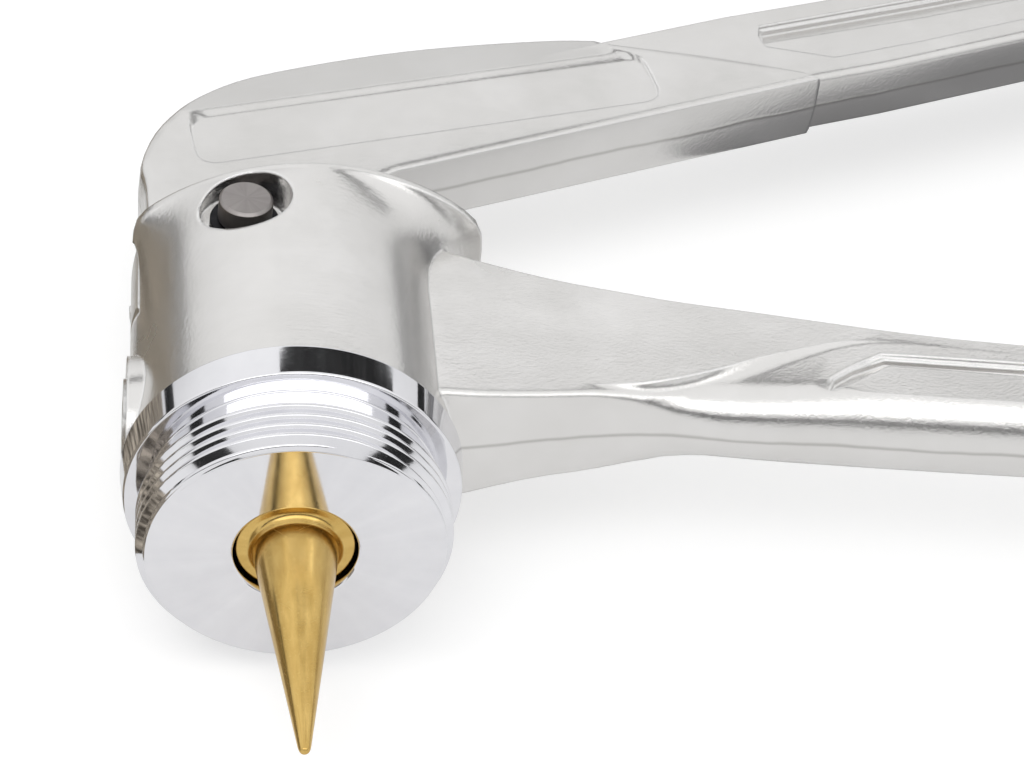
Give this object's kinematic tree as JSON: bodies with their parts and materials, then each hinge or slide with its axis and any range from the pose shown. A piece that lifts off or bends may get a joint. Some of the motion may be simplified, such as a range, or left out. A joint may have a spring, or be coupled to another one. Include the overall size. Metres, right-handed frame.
{
  "type": "pipe expander tool",
  "caption": "Hand pipe expander with a threaded nose, a cone pushed out of it by a cam on the swinging lever, and a second lever forged to the barrel.",
  "frame": {"origin": "under the middle of the tool's box, at the height of its lowest point, with the tool lying on its side", "axes": "+X along the fixed lever from the barrel to its grip, -Y out of the nose along the cone, +Z along the pivot pin"},
  "size_m": [0.3764, 0.2294, 0.0386],
  "materials": {
    "forged_aluminium": "satin, vibratory polished",
    "chrome": "mirror",
    "gold_coating": "satin titanium nitride coating on hardened steel",
    "steel": "bright",
    "pin_steel": "ground",
    "bronze": "machined",
    "black_steel": "phosphated",
    "rubber": "matt",
    "grip_plastic": "fine grain"
  },
  "bodies": {
    "body": {"housing": "forged_aluminium", "threaded_nose": "chrome", "nose_seal": "rubber", "guide_bush": "bronze", "return_spring": "steel", "pivot_pin": "pin_steel", "upper_circlip": "black_steel", "lower_circlip": "black_steel", "upper_thrust_washer": "bronze", "lower_thrust_washer": "bronze", "nose_lock_screw": "steel", "fixed_grip": "grip_plastic"},
    "lever": {"moving_lever": "forged_aluminium", "cam_insert": "steel", "cam_rivet_1": "steel", "cam_rivet_2": "steel", "pivot_bush": "bronze", "moving_grip": "grip_plastic"},
    "mandrel": {"expander_cone": "gold_coating", "spring_collar": "steel", "collar_snap_ring": "black_steel", "thrust_button": "steel"}
  },
  "joints": [
    {"name": "lever_swing", "type": "hinge", "parent": "body", "child": "lever", "pos_m": [-0.17455, -0.04666, 0.0193], "axis": [0, 0, 1], "range_deg": [-20, 58]},
    {"name": "cone_slide", "type": "slide", "parent": "body", "child": "mandrel", "axis": [0, -1, 0], "range_m": [-0.0059, 0.0021], "deforming": ["return_spring"]}
  ],
  "couplings": [
    {"joint": "cone_slide", "follows": "lever_swing", "m_per_rad": -0.0057}
  ]
}
